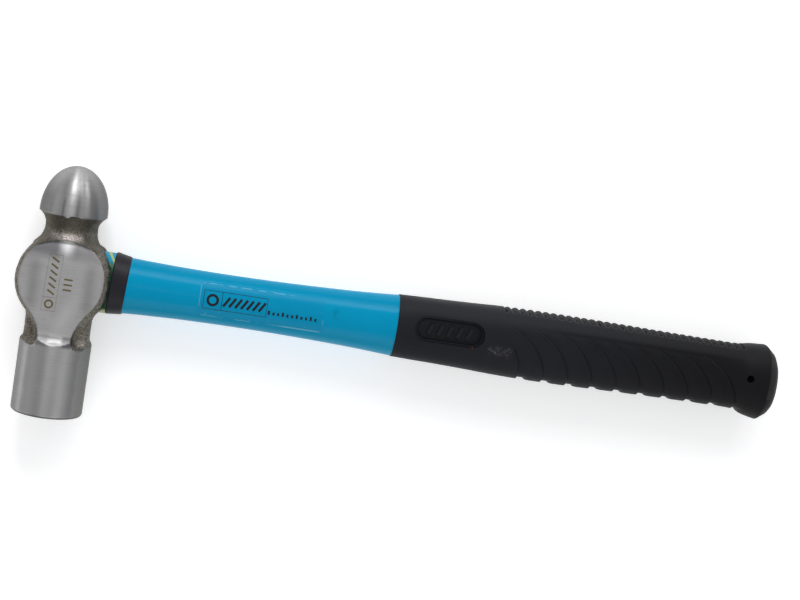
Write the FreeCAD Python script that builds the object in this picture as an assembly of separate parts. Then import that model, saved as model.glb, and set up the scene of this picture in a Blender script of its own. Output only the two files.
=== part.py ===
"""One-pound ball peen hammer with a bonded glass-fibre handle, lying on its side.

Frame, in millimetres: the origin is the centre of the striking face, +X runs along the handle
from the head to the butt, +Y runs up the head from the striking face to the peen, and +Z is
square to both, out of the ground cheek. The hammer is symmetric about the plane Z = 0.
"""
import FreeCAD
import Part
import math
import os

Vec = FreeCAD.Vector
X_AXIS = Vec(1, 0, 0)
Y_AXIS = Vec(0, 1, 0)
Z_AXIS = Vec(0, 0, 1)

# ---- head, measured up from the striking face --------------------------------------------
POLL_RADIUS = 15.15           # cylindrical poll
FACE_CHAMFER = 0.9            # edge of the striking face
POLL_TOP = 29.6               # where the forged pockets start
WAIST_RADIUS = 11.4           # floor of the pockets
WAIST_LOW = 34.8
WAIST_HIGH = 40.0
WEB_HALF = 13.9               # webs that join poll and boss on the two eye sides
WEB_THICK = 13.0
TONGUE_HALF = 6.4             # ground strip that joins each cheek to the poll
TONGUE_FILLET = 7.0
CHEEK_HALF = 12.9             # half the distance across the ground cheeks
BOSS_CENTRE = 58.2            # height of the round eye boss
BOSS_RADIUS = 20.2            # at the parting line
BOSS_EDGE = (19.8, 8.2)       # radius, height above the mid plane where the rim rounds off
CHEEK_RADIUS = 18.3           # ground disc on each cheek
NECK_RADIUS = 10.9
NECK_Y = 80.3
SHOULDER_Y = 73.6             # where the neck leaves the boss
SHOULDER_RADIUS = 13.2
RIM_Y = 86.8                  # widest ring of the peen
RIM_LIP = 1.4                 # height of the rim's rounded underside
PEEN_RADIUS = 14.25
PEEN_HEIGHT = 19.3            # rim to apex
HEAD_LENGTH = RIM_Y + PEEN_HEIGHT

# ---- eye, a tapered oval hole along X ----------------------------------------------------
HANDLE_Y = 59.0               # height of the handle's axis
EYE_SECTIONS = (              # x, half height, half width
    (-24.0, 12.4, 9.2),
    (0.0, 11.7, 8.4),
    (24.0, 13.0, 9.4),
)
TENON_END = -14.6             # far end of rod, jacket and resin inside the eye

# ---- core rod ----------------------------------------------------------------------------
ROD_HALF_HEIGHT = 7.6
ROD_HALF_WIDTH = 4.8
ROD_END = 290.0

# ---- jacket ------------------------------------------------------------------------------
GRIP_START = 142.0
JACKET_SECTIONS = (           # x, half height, half width
    (TENON_END, 10.3, 6.9),
    (4.0, 10.6, 7.1),
    (14.0, 11.7, 8.0),
    (20.0, 12.7, 8.8),
    (26.5, 12.1, 8.7),
    (36.0, 11.65, 8.5),
    (54.0, 11.15, 8.3),
    (80.0, 11.1, 8.3),
    (104.0, 11.6, 8.8),
    (126.0, 12.45, 9.6),
    (GRIP_START, 13.45, 10.4),
)
SECTION_PITCH = 4.0           # spacing of the ovals that a lofted surface is drawn through
SLEEVE_HALF_HEIGHT = 11.4     # jacket under the grip
SLEEVE_HALF_WIDTH = 8.2
SLEEVE_END = 293.0

# ---- collar ring and the resin bead in front of it ---------------------------------------
COLLAR_START = 19.4
COLLAR_END = 26.4
COLLAR_TILT = -3.2            # degrees about Z, the ring sits slightly askew
COLLAR_FRONT = (13.65, 9.75)  # half height, half width at the head end
COLLAR_BACK = (12.55, 9.25)
BEAD = (13.15, 9.25)
BEAD_START = 14.0
BEAD_END = 21.4

# ---- label -------------------------------------------------------------------------------
LABEL_THICK = 0.15
LABEL_X = (57.1, 110.4)
LABEL_Y = (52.0, 66.2)
LABEL_CORNER = 1.5

# ---- grip --------------------------------------------------------------------------------
GRIP_SECTIONS = (             # x, centre height, half height, half width
    (GRIP_START, 59.05, 13.65, 10.6),
    (158.0, 59.1, 13.95, 11.0),
    (175.0, 59.1, 14.5, 11.5),
    (189.0, 59.1, 15.1, 11.8),
    (205.0, 59.1, 15.35, 12.0),
    (237.0, 59.05, 15.2, 11.9),
    (262.0, 59.0, 14.85, 11.7),
    (284.0, 58.95, 14.65, 11.6),
    (296.5, 58.85, 14.75, 12.0),
    (301.5, 58.5, 15.9, 13.2),
    (308.0, 58.05, 16.8, 14.0),
)
BUTT_SECTIONS = (             # bevelled end past the flare
    GRIP_SECTIONS[-1],
    (312.0, 57.7, 13.8, 11.3),
    (313.9, 57.2, 10.8, 8.6),
    (314.7, 56.9, 6.4, 4.8),
)
RIB_COUNT = 31
RIB_FIRST = 190.3
RIB_PITCH = 3.494
RIB_DEPTH = 1.0
RIB_CUTTER = 1.9              # radius of the round valley between two ribs
NOTCH_COUNT = 10
NOTCH_FIRST = 199.9
NOTCH_PITCH = 10.93
NOTCH_DEPTH = 1.1
NOTCH_CUTTER = 2.0
BADGE_X = (149.6, 180.2)
BADGE_Y = 61.0
BADGE_HALF_HEIGHT = 5.65
BADGE_FLOOR = 10.2            # height of the badge's floor above the mid plane
HOLE_X = 299.9
HOLE_Y = 60.2
HOLE_RADIUS = 1.6

REACH = 60.0                  # longer than any cut has to be


def oval(x, centre_height, half_height, half_width):
    """Closed oval wire in the plane X = x, taller than it is wide."""
    centre = Vec(x, centre_height, 0)
    curve = Part.Ellipse(centre + Vec(0, half_height, 0), centre + Vec(0, 0, half_width), centre)
    return Part.Wire(curve.toShape())


def slopes(sections, column):
    """Slope of one column of a section table at each of its rows."""
    rows = [sections[0], *sections, sections[-1]]
    return [(after[column] - before[column]) / (after[0] - before[0])
            for before, after in zip(rows, rows[2:])]


def blended(sections, x):
    """Section at a place x, on a smooth curve through the rows of a table."""
    index = max(i for i, row in enumerate(sections[:-1]) if row[0] <= x)
    low, high = sections[index], sections[index + 1]
    gap = high[0] - low[0]
    t = (x - low[0]) / gap
    section = [x]
    for column in range(1, len(low)):
        slope = slopes(sections, column)
        section.append(low[column] * (2 * t ** 3 - 3 * t ** 2 + 1)
                       + high[column] * (3 * t ** 2 - 2 * t ** 3)
                       + slope[index] * gap * (t ** 3 - 2 * t ** 2 + t)
                       + slope[index + 1] * gap * (t ** 3 - t ** 2))
    return section


def evenly(sections, pitch=SECTION_PITCH):
    """The same shape as a table of closely and evenly spaced sections."""
    start, end = sections[0][0], sections[-1][0]
    steps = math.ceil((end - start) / pitch)
    return [blended(sections, start + (end - start) * step / steps) for step in range(steps + 1)]


def loft(sections, ruled=False):
    """Solid through ovals given as (x, centre height, half height, half width)."""
    return Part.makeLoft([oval(*section) for section in sections], True, ruled)


def on_axis(sections):
    """The same sections with the handle's axis as their centre height."""
    return [(x, HANDLE_Y, height, width) for x, height, width in sections]


def box(x_range, y_range, z_range):
    """Block between the given limits."""
    size = [limit[1] - limit[0] for limit in (x_range, y_range, z_range)]
    return Part.makeBox(*size, Vec(x_range[0], y_range[0], z_range[0]))


def prism(edges, z_half):
    """Flat outline in the plane Z = 0, thickened to both sides."""
    face = Part.Face(Part.Wire(edges))
    face.translate(Vec(0, 0, -z_half))
    return face.extrude(Vec(0, 0, 2 * z_half))


def cross_pin(x, y, radius):
    """Round bar along Z, longer than the hammer is thick."""
    return Part.makeCylinder(radius, 2 * REACH, Vec(x, y, -REACH), Z_AXIS)


def segment(start, end):
    """Straight edge between two points of the plane Z = 0."""
    return Part.makeLine(Vec(*start, 0), Vec(*end, 0))


def arc(start, middle, end):
    """Round edge through three points of the plane Z = 0."""
    return Part.Arc(Vec(*start, 0), Vec(*middle, 0), Vec(*end, 0)).toShape()


def smooth(points):
    """Curved edge through a few points of the plane Z = 0."""
    curve = Part.BSplineCurve()
    curve.interpolate([Vec(*point, 0) for point in points])
    return curve.toShape()


# ---- head --------------------------------------------------------------------------------

def turned_body():
    """Poll, waist, neck and peen as one body of revolution about the head's axis."""
    foot = (POLL_RADIUS - FACE_CHAMFER, 0)
    poll_low = (POLL_RADIUS, FACE_CHAMFER)
    poll_high = (POLL_RADIUS, POLL_TOP)
    waist_low = (WAIST_RADIUS, WAIST_LOW)
    waist_high = (WAIST_RADIUS, WAIST_HIGH)
    shoulder = (SHOULDER_RADIUS, SHOULDER_Y)
    lip = (PEEN_RADIUS - RIM_LIP, RIM_Y - RIM_LIP)
    rim = (PEEN_RADIUS, RIM_Y)
    apex = (0, HEAD_LENGTH)
    peen = Part.Ellipse(Vec(*apex, 0), Vec(*rim, 0), Vec(0, RIM_Y, 0))
    outline = [
        segment((0, 0), foot),
        segment(foot, poll_low),
        segment(poll_low, poll_high),
        segment(poll_high, waist_low),
        segment(waist_low, waist_high),
        segment(waist_high, shoulder),
        smooth([shoulder, (NECK_RADIUS, NECK_Y), lip]),
        segment(lip, rim),
        Part.ArcOfEllipse(peen, 0, math.pi / 2).toShape(),
        segment(apex, (0, 0)),
    ]
    face = Part.Face(Part.Wire(Part.__sortEdges__(outline)))
    return face.revolve(Vec(0, 0, 0), Y_AXIS, 360)


def eye_boss():
    """Round boss whose rim rounds off towards its two ground cheeks."""
    edge_radius, edge_height = BOSS_EDGE
    corners = [
        (0, -CHEEK_HALF),
        (CHEEK_RADIUS, -CHEEK_HALF),
        (edge_radius, -edge_height),
        (BOSS_RADIUS, 0),
        (edge_radius, edge_height),
        (CHEEK_RADIUS, CHEEK_HALF),
        (0, CHEEK_HALF),
    ]
    outline = [segment(start, end) for start, end in zip(corners, corners[1:] + corners[:1])]
    face = Part.Face(Part.Wire(outline))
    boss = face.revolve(Vec(0, 0, 0), Y_AXIS, 360)
    boss.rotate(Vec(0, 0, 0), X_AXIS, 90)
    boss.translate(Vec(0, BOSS_CENTRE, 0))
    return boss


def tongues():
    """Strip under each cheek, which widens into the cheek with a round fillet on both sides."""
    reach = CHEEK_RADIUS + TONGUE_FILLET
    across = TONGUE_HALF + TONGUE_FILLET
    fillet_y = BOSS_CENTRE - math.sqrt(reach ** 2 - across ** 2)
    meet = Vec(across, fillet_y - BOSS_CENTRE, 0) * (CHEEK_RADIUS / reach) + Vec(0, BOSS_CENTRE, 0)
    bend = math.radians(180) - math.atan2(BOSS_CENTRE - fillet_y, across)
    turn = (math.radians(180) + bend) / 2
    half = (across + TONGUE_FILLET * math.cos(turn), fillet_y + TONGUE_FILLET * math.sin(turn))
    right = [
        segment((TONGUE_HALF, POLL_TOP - FACE_CHAMFER), (TONGUE_HALF, fillet_y)),
        arc((TONGUE_HALF, fillet_y), half, (meet.x, meet.y)),
    ]
    left = [edge.mirror(Vec(0, 0, 0), X_AXIS) for edge in right]
    top = segment((meet.x, meet.y), (-meet.x, meet.y))
    bottom = segment((-TONGUE_HALF, POLL_TOP - FACE_CHAMFER), (TONGUE_HALF, POLL_TOP - FACE_CHAMFER))
    return prism(Part.__sortEdges__(right + left + [top, bottom]), CHEEK_HALF)


def webs():
    """Bridge between poll and boss on the two eye sides."""
    return box((-WEB_HALF, WEB_HALF), (POLL_TOP - FACE_CHAMFER, BOSS_CENTRE),
               (-WEB_THICK / 2, WEB_THICK / 2))


def eye_hole():
    """Tapered oval hole for the handle."""
    return loft(on_axis(EYE_SECTIONS))


def head_body():
    """The whole forging before the eye is pierced."""
    body = turned_body().fuse([eye_boss(), tongues(), webs()])
    return body.removeSplitter()


def make_head():
    return head_body().cut(eye_hole())


# ---- handle ------------------------------------------------------------------------------

def jacket_outside():
    """Outer shape of the jacket: the flared visible part and the plain part under the grip."""
    visible = loft(evenly(on_axis(JACKET_SECTIONS)))
    start = JACKET_SECTIONS[-1][0]
    hidden = Part.Face(oval(start, HANDLE_Y, SLEEVE_HALF_HEIGHT, SLEEVE_HALF_WIDTH))
    return visible.fuse(hidden.extrude(Vec(SLEEVE_END - start, 0, 0)))


def make_rod():
    """Solid glass-fibre core."""
    end = Part.Face(oval(TENON_END, HANDLE_Y, ROD_HALF_HEIGHT, ROD_HALF_WIDTH))
    return end.extrude(Vec(ROD_END - TENON_END, 0, 0))


def make_jacket():
    return jacket_outside().cut(make_rod())


def collar_block():
    """Outer shape of the collar with no hole in it."""
    block = loft([(COLLAR_START, HANDLE_Y, *COLLAR_FRONT), (COLLAR_END, HANDLE_Y, *COLLAR_BACK)])
    middle = Vec((COLLAR_START + COLLAR_END) / 2, HANDLE_Y, 0)
    block.rotate(middle, Z_AXIS, COLLAR_TILT)
    return block


def make_collar():
    return collar_block().cut(jacket_outside())


def make_resin():
    """Resin around the tenon, with the bead that was squeezed out against the collar."""
    reach = box((TENON_END, REACH), (0, HEAD_LENGTH), (-REACH, REACH))
    filling = eye_hole().common(reach).common(eye_boss())
    bead = loft([(BEAD_START, HANDLE_Y, *BEAD), (BEAD_END, HANDLE_Y, *BEAD)])
    return filling.fuse(bead).cut([make_head(), jacket_outside(), collar_block()])


# ---- label -------------------------------------------------------------------------------

def make_label():
    """Clear film on the jacket's upper side, bent to the jacket's surface."""
    skin = loft([(x, y, height + LABEL_THICK, width + LABEL_THICK)
                 for x, y, height, width in evenly(on_axis(JACKET_SECTIONS))])
    patch = box(LABEL_X, LABEL_Y, (0, REACH))
    corners = [edge for edge in patch.Edges if edge.BoundBox.ZLength > REACH / 2]
    patch = patch.makeFillet(LABEL_CORNER, corners)
    return skin.common(patch).cut(jacket_outside())


# ---- grip --------------------------------------------------------------------------------

def grip_outline(x):
    """Top and bottom of the plain grip at a place along it."""
    _, centre, half, _ = blended(GRIP_SECTIONS, x)
    return centre + half, centre - half


def rib_valleys():
    """Round grooves across the top edge that leave the ribs standing between them."""
    pins = []
    for index in range(RIB_COUNT + 1):
        x = RIB_FIRST + (index - 0.5) * RIB_PITCH
        top, _ = grip_outline(x)
        pins.append(cross_pin(x, top + RIB_CUTTER - RIB_DEPTH, RIB_CUTTER))
    return pins


def finger_notches():
    """Round notches across the bottom edge."""
    pins = []
    for index in range(NOTCH_COUNT):
        x = NOTCH_FIRST + index * NOTCH_PITCH
        _, bottom = grip_outline(x)
        pins.append(cross_pin(x, bottom - NOTCH_CUTTER + NOTCH_DEPTH, NOTCH_CUTTER))
    return pins


def badge_recesses():
    """Flat-floored recess with round ends in each broad side."""
    start = BADGE_X[0] + BADGE_HALF_HEIGHT
    end = BADGE_X[1] - BADGE_HALF_HEIGHT
    low = BADGE_Y - BADGE_HALF_HEIGHT
    high = BADGE_Y + BADGE_HALF_HEIGHT
    outline = [
        segment((start, low), (end, low)),
        arc((end, low), (BADGE_X[1], BADGE_Y), (end, high)),
        segment((end, high), (start, high)),
        arc((start, high), (BADGE_X[0], BADGE_Y), (start, low)),
    ]
    block = prism(outline, REACH)
    return block.cut(box((0, 2 * BADGE_X[1]), (0, HEAD_LENGTH), (-BADGE_FLOOR, BADGE_FLOOR)))


def make_grip():
    """Overmoulded grip with a solid butt past the end of the core."""
    plain = loft(evenly(GRIP_SECTIONS)).fuse(loft(BUTT_SECTIONS, ruled=True))
    cuts = rib_valleys() + finger_notches() + [badge_recesses()]
    cuts.append(cross_pin(HOLE_X, HOLE_Y, HOLE_RADIUS))
    cuts += [jacket_outside(), make_rod()]
    return plain.cut(cuts)


PIECES = {
    "hammer_head": make_head,
    "core_rod": make_rod,
    "handle_jacket": make_jacket,
    "eye_resin": make_resin,
    "collar_ring": make_collar,
    "grip_sleeve": make_grip,
    "label_film": make_label,
}


def main():
    os.makedirs("parts", exist_ok=True)
    for name, make in PIECES.items():
        shape = make()
        print(name, "valid", shape.isValid(), "solids", len(shape.Solids),
              "cm3", round(shape.Volume / 1000, 3))
        shape.exportStep(f"parts/{name}.step")


main()
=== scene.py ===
import math

import bpy
import numpy as np
from mathutils import Matrix, Vector, noise


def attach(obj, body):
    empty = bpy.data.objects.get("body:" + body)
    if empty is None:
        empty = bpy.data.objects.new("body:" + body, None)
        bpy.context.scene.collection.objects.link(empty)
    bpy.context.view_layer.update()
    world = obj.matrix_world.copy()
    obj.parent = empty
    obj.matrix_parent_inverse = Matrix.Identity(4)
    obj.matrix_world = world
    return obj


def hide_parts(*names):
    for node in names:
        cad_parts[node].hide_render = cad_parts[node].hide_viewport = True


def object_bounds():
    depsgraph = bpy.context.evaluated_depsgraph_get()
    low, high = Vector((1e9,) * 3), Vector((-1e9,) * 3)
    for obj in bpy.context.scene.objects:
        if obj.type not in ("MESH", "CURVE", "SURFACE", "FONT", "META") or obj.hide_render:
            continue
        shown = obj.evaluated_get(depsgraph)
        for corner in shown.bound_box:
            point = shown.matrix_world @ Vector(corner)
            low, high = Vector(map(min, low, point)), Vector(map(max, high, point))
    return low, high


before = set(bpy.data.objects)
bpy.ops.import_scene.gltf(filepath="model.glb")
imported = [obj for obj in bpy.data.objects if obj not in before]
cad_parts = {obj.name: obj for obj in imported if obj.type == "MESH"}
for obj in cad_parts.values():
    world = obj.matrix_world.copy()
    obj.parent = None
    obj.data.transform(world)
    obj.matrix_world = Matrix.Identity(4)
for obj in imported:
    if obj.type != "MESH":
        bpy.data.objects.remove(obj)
cad_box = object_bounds()
scene = bpy.context.scene

# Shapes are worked out in millimetres and scaled to metres when a mesh is made.
MM = 0.001

# ---- view and light ----
AIM = (142.6, 70.25, 0.0)
VIEW_DISTANCE = 693.5
VIEW_HEADING = 137.5  # degrees from +X, anticlockwise seen from above
VIEW_ELEVATION = 80.04
VIEW_ROLL = 9.42  # the head's axis leans this far left of upright
LENS = 72.0
FLOOR_SIZE = 6000.0
FLOOR_GAP = 0.1  # keeps the floor off the hammer
FLOOR_GLOW = 0.42
HORIZON_LIGHT = 0.55
ZENITH_LIGHT = 0.42
BACKDROP = 0.98  # how bright the surroundings look to the camera
LIGHTS = (  # name, direction, distance, size, watts
    ("dome_panel", (-0.277, 0.808, 0.521), 960.0, (120.0, 250.0), 1.4),
    ("side_panel", (0.44, 0.80, 0.40), 950.0, (170.0, 250.0), 0.7),
    ("cheek_panel", (-0.02, 0.76, 0.65), 1000.0, (550.0, 300.0), 2.2),
    ("poll_panel", (-0.41, 0.10, 0.91), 1050.0, (70.0, 800.0), 0.35),
    ("back_strip", (0.0, 0.906, 0.423), 900.0, (1100.0, 40.0), 0.9),
    ("front_fill", (0.05, -0.75, 0.6), 1300.0, (1100.0, 700.0), 2.4),
)

# ---- head ----
HEAD_PITCH = 0.45  # size of the cells that the head's surface is found in
HEAD_LOW = (-21.0, -0.6, -15.9)
HEAD_HIGH = (21.0, 106.8, 15.9)
POLL_RADIUS = 15.13
POLL_TOP = 30.6
FACE_CHAMFER = 0.9
WAIST_RADIUS = 11.4
WEB_HALF = 13.7
WEB_HALF_THICK = 6.5
WAIST_LOW = 24.0
TONGUE_HALF = 7.1
TONGUE_HIGH = 17.0
RUNOUT_Y = 37.0  # below this the cheek curves up into the poll
RUNOUT_RADIUS = 7.6
CHEEK_HALF = 12.88
CROWN_Y = 64.0  # the cheeks fall away above this height
CROWN_RADIUS = 36.0
CROWN_ARC_Y = 51.0  # the cheeks end in a low wall on an arc about here
CROWN_ARC_RADIUS = 24.1
BOSS_Y = 58.2
BOSS_RADIUS = 19.95
BOSS_DRAFT = 0.04
BOSS_HALF = 14.3
BOSS_ROUND = 5.0
BOSS_SWELL = 0.8  # the boss is a little wider above the handle
BOSS_TOP = 17.1  # the boss is cut flat this far above its centre
NECK_RADIUS = 10.9
NECK_Y = 80.3
RIM_Y = 86.8
LIP_Y = 85.75  # ragged lower edge of the ground peen
PEEN_RADIUS = 14.22
PEEN_HEIGHT = 19.28
FLARE = 3.0  # growth of the neck's radius up to the lip
FORGED_BUMP = 0.13
GROUND_BUMP = 0.035
PARTING_RIDGE = 0.22

# ---- handle ----
HANDLE_Y = 59.0
EYE_SECTIONS = (  # x, half height, half width
    (-24.0, 12.4, 9.2),
    (0.0, 11.7, 8.4),
    (24.0, 13.0, 9.4),
)
TENON_END = -14.6
ROD_HALF_HEIGHT = 7.6
ROD_HALF_WIDTH = 4.8
GRIP_START = 142.0
JACKET_SECTIONS = (  # x, half height, half width
    (TENON_END, 10.3, 6.9),
    (4.0, 10.6, 7.1),
    (14.0, 11.7, 8.0),
    (20.0, 12.7, 8.8),
    (26.5, 12.1, 8.7),
    (36.0, 11.65, 8.5),
    (54.0, 11.15, 8.3),
    (80.0, 11.1, 8.3),
    (104.0, 11.6, 8.8),
    (126.0, 12.45, 9.6),
    (GRIP_START, 13.45, 10.4),
)
SLEEVE_HALF_HEIGHT = 11.4
SLEEVE_HALF_WIDTH = 8.2
SLEEVE_END = 293.0
AROUND = 160  # points round an oval section

# ---- collar ----
COLLAR_START = 19.4
COLLAR_END = 26.4
COLLAR_TILT = -3.2  # degrees about Z
COLLAR_FRONT = (13.6, 9.7)  # half height, half width
COLLAR_BACK = (12.5, 9.2)
COLLAR_ROUND = 0.7
COLLAR_THICK = 2.6

# ---- label ----
LABEL_THICK = 0.15
LABEL_X = (57.1, 110.4)
LABEL_Y = (52.0, 66.2)
LABEL_CORNER = 1.5
INK_THICK = 0.03
DASH_COUNT = 11
DASH_FIRST = 87.0
DASH_PITCH = 2.0
DASH_Y = 56.6
DASH_HEIGHT = 1.3
MARK_SLANT = 0.03  # lean of the cheek's marks from the head's axis

# ---- grip ----
GRIP_SECTIONS = (  # x, centre height, half height, half width
    (GRIP_START, 59.05, 13.65, 10.6),
    (158.0, 59.1, 13.95, 11.0),
    (175.0, 59.1, 14.5, 11.5),
    (189.0, 59.1, 15.1, 11.8),
    (205.0, 59.1, 15.35, 12.0),
    (237.0, 59.05, 15.2, 11.9),
    (262.0, 59.0, 14.85, 11.7),
    (284.0, 58.95, 14.65, 11.6),
    (296.5, 58.85, 14.75, 12.0),
    (301.5, 58.5, 15.9, 13.2),
    (308.0, 58.05, 16.8, 14.0),
)
FLARE_END = GRIP_SECTIONS[-1][0]
BUTT_SECTIONS = (  # bevelled end past the flare
    (308.3, 58.0, 16.7, 13.9),
    (311.7, 57.75, 14.1, 11.55),
    (312.1, 57.7, 13.6, 11.1),
    (313.6, 57.25, 11.2, 8.95),
    (314.2, 57.1, 9.6, 7.6),
    (314.6, 56.9, 6.4, 4.8),
)
RIB_COUNT = 31
RIB_FIRST = 190.3
RIB_PITCH = 3.494
RIB_DEPTH = 1.3
RIB_WIDTH = 0.72  # share of the pitch that a rib takes up
RIB_STEPS = 12  # rows of points from one rib to the next
PLAIN_STEP = 0.6  # rows of points outside the ribs
GRIP_AROUND = 168
GRIP_CREASE = 30.0  # degrees
FEATHER_COUNT = 10
FEATHER_FIRST = 198.3
FEATHER_PITCH = 10.93
FEATHER_SWEEP = 18.9  # how far back towards the head a feather starts
FEATHER_TOP = 0.53  # height as a share of the grip's half height
FEATHER_DEPTH = 0.8
FEATHER_REACH = 5.5
WALL = 0.6  # width of the steep side of a feather or notch
WALL_STEPS = 4
LIP_RISE = 0.4  # bead along the upper half of a feather's edge
LIP_WIDTH = 0.55
NOTCH_DEPTH = 0.9
NOTCH_FLAT = 3.2
NOTCH_REACH = 4.0
PANEL_DEPTH = 0.35
BADGE_X = (149.6, 180.2)
BADGE_Y = 61.0
BADGE_HALF_HEIGHT = 5.65
BADGE_FLOOR = 9.3
BADGE_LEDGE = 10.05  # ledge round the inside of the badge
BADGE_BAR_RISE = 0.75
HOLE_X = 299.9
HOLE_Y = 60.2
HOLE_RADIUS = 1.6


# ---- small tools ----

def ramp(low, high, value):
    """0 below low, 1 above high, and a soft ramp between them; low may be the larger."""
    t = np.clip((value - low) / (high - low), 0, 1)
    return t * t * (3 - 2 * t)


def follow(sections, places):
    """Columns of a section table at the given places, on a smooth curve through its rows."""
    table = np.array(sections)
    padded = np.vstack([table[:1], table, table[-1:]])
    slope = (padded[2:, 1:] - padded[:-2, 1:]) / (padded[2:, :1] - padded[:-2, :1])
    index = np.clip(np.searchsorted(table[:, 0], places, side="right") - 1, 0, len(table) - 2)
    low, high = table[index], table[index + 1]
    gap = high[..., :1] - low[..., :1]
    t = (np.asarray(places)[..., None] - low[..., :1]) / gap
    columns = (low[..., 1:] * (2 * t ** 3 - 3 * t ** 2 + 1)
               + high[..., 1:] * (3 * t ** 2 - 2 * t ** 3)
               + slope[index] * gap * (t ** 3 - 2 * t ** 2 + t)
               + slope[index + 1] * gap * (t ** 3 - t ** 2))
    return np.moveaxis(columns, -1, 0)


def mesh_object(name, points, faces):
    """Object in the scene with a mesh from points in millimetres."""
    mesh = bpy.data.meshes.new(name)
    mesh.from_pydata((np.asarray(points) * MM).tolist(), [], faces)
    made = bpy.data.objects.new(name, mesh)
    scene.collection.objects.link(made)
    return made


def smooth(mesh, crease):
    """Smooth shading, except where faces meet at more than the crease angle."""
    mesh.polygons.foreach_set("use_smooth", np.ones(len(mesh.polygons), bool))
    mesh.set_sharp_from_angle(angle=math.radians(crease))


def build(name, points, faces, material, crease=35.0):
    """Mesh piece with its material, riding on the one body."""
    piece = mesh_object(name, points, faces)
    piece.data.validate()
    smooth(piece.data, crease)
    piece.data.materials.append(material)
    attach(piece, "root")
    return piece


def skin(rings, closed=False):
    """Points and faces of a tube through rings; closed joins the last to the first."""
    count, around = rings.shape[:2]
    index = np.arange(count * around).reshape(count, around)
    last = index if closed else index[:-1]
    after = np.roll(index, -1, axis=0) if closed else index[1:]
    faces = np.stack([last, np.roll(last, -1, axis=1), np.roll(after, -1, axis=1), after], axis=-1)
    faces = faces.reshape(-1, 4).tolist()
    if not closed:
        faces.append(index[0, ::-1].tolist())
        faces.append(index[-1].tolist())
    return rings.reshape(-1, 3), faces


def ovals(x, half_height, half_width, around=AROUND):
    """Rings of points round ovals across the handle's axis, starting at their top."""
    angle = np.linspace(0, 2 * math.pi, around, endpoint=False)
    height = HANDLE_Y + half_height[:, None] * np.cos(angle)
    width = half_width[:, None] * np.sin(angle)
    return np.stack([np.broadcast_to(x[:, None], height.shape), height, width], axis=-1)


def straight(start, end, half_height, half_width, around=AROUND):
    """End rings of a straight oval tube along the handle's axis."""
    return ovals(np.array([start, end]), np.full(2, half_height), np.full(2, half_width), around)


def circle(x, y, radius, angle):
    """Flat points round a centre at the given angles."""
    return np.stack([x + radius * np.cos(angle), y + radius * np.sin(angle)], -1)


def lifted(flat, height):
    """Flat points at one height."""
    return np.column_stack([flat, np.full(len(flat), height)])


def carve(piece, cutter, operation):
    """Cuts one piece by another, or joins them, and drops the cutter."""
    modifier = piece.modifiers.new("cut", "BOOLEAN")
    modifier.operation = operation
    modifier.solver = "EXACT"
    modifier.object = cutter
    graph = bpy.context.evaluated_depsgraph_get()
    mesh = bpy.data.meshes.new_from_object(piece.evaluated_get(graph))
    piece.modifiers.clear()
    piece.data = mesh
    bpy.data.objects.remove(cutter)


def rough(points, size):
    """Smooth noise between about -1 and 1 at each point, with lumps of the given size."""
    return np.array([noise.fractal(Vector(point), 1.0, 2.0, 1) for point in points / size])


# ---- materials ----

def arithmetic(operation):
    """Method that joins two values by a math node."""
    return lambda self, other: self.shader.math(operation, self, other)


class Wire:
    """Output of a shader node that plain arithmetic can be done on."""

    def __init__(self, shader, socket):
        self.shader = shader
        self.socket = socket

    __add__ = __radd__ = arithmetic("ADD")
    __mul__ = __rmul__ = arithmetic("MULTIPLY")
    __sub__ = arithmetic("SUBTRACT")
    __truediv__ = arithmetic("DIVIDE")

    def __rsub__(self, other):
        return self.shader.math("SUBTRACT", other, self)

    def __abs__(self):
        return self.shader.math("ABSOLUTE", self)


class Nodes:
    """Adds and joins nodes in one node tree."""

    def __init__(self, tree):
        self.tree = tree

    def node(self, kind, **inputs):
        """New node with some inputs set or fed; underscores stand for spaces."""
        made = self.tree.nodes.new("ShaderNode" + kind)
        for name, value in inputs.items():
            self.connect(value, made.inputs[name.replace("_", " ")])
        return made

    def connect(self, value, socket):
        if isinstance(value, Wire):
            value = value.socket
        if isinstance(value, bpy.types.NodeSocket):
            self.tree.links.new(value, socket)
        else:
            socket.default_value = value


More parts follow.
